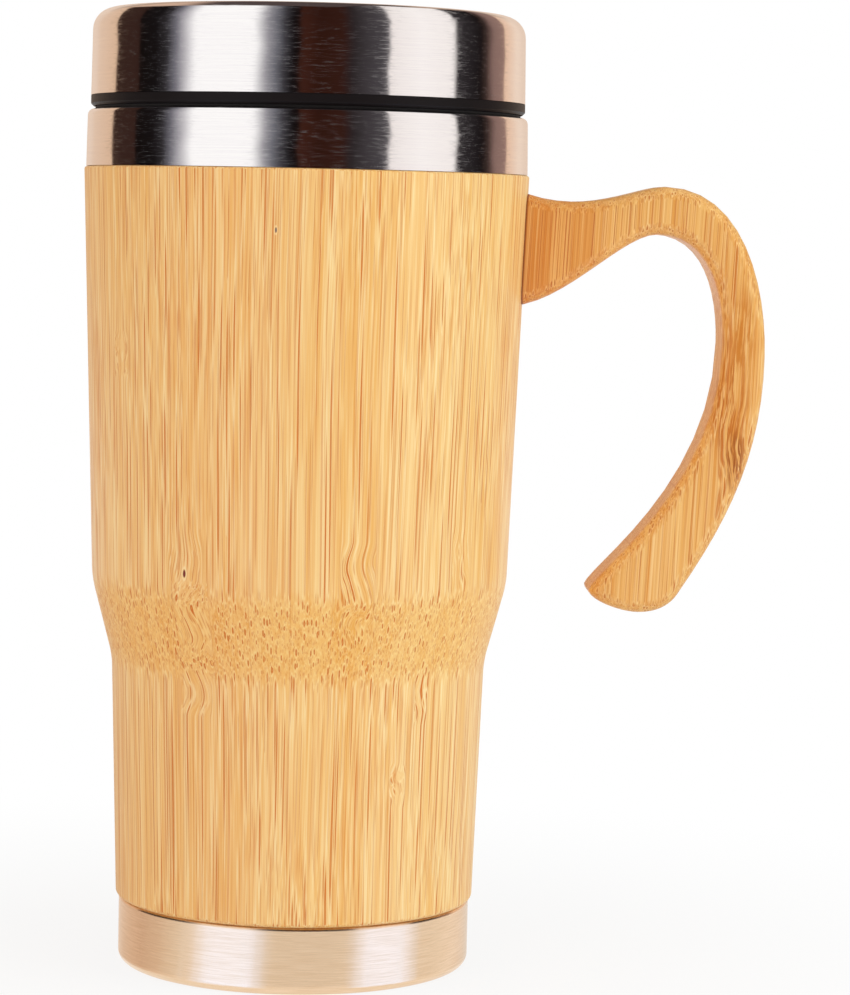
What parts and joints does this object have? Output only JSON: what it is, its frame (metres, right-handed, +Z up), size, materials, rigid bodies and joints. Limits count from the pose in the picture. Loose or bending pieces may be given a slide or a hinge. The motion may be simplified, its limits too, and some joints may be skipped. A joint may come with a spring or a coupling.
{
  "type": "bamboo travel mug",
  "caption": "Tapered drinking mug with a waisted bamboo shell, a hook-shaped bamboo handle, a steel liner, collar and base, and a lift-off steel lid with a slide-lock sip slot.",
  "frame": {"origin": "on the mug's turning axis, in the plane that the base rests on", "axes": "+Z up along the mug's axis, +X from the axis towards the handle, -Y towards the lid's sip slot"},
  "size_m": [0.1299, 0.0844, 0.1814],
  "materials": {
    "bamboo": "sanded laminated bamboo with a thin matt varnish",
    "handle_bamboo": "darker bamboo, hand-sanded edges, satin varnish",
    "screw_steel": "zinc-plated screw steel",
    "liner_steel": "drawn stainless steel, fine turned grain",
    "polished_steel": "stainless steel, mirror polished over fine turning lines",
    "base_steel": "stainless steel, brushed round the axis",
    "black_plastic": "moulded black polypropylene, fine satin",
    "silicone": "translucent grey silicone",
    "foam": "closed-cell foam"
  },
  "bodies": {
    "cup": {"bamboo_shell": "bamboo", "handle": "handle_bamboo", "handle_screws": "screw_steel", "steel_liner": "liner_steel", "steel_collar": "polished_steel", "base_cap": "base_steel", "liner_pad": "foam"},
    "lid": {"lid_cap": "polished_steel", "lid_plug": "black_plastic", "lid_seal": "silicone", "lid_deck": "black_plastic"},
    "slider": {"slider": "black_plastic", "slider_seal": "silicone"}
  },
  "joints": [
    {"name": "lid_lift", "type": "slide", "parent": "cup", "child": "lid", "axis": [0, 0, 1], "range_m": [0, 0.06]},
    {"name": "slider_slide", "type": "slide", "parent": "lid", "child": "slider", "axis": [0, 1, 0], "range_m": [0, 0.011]}
  ]
}
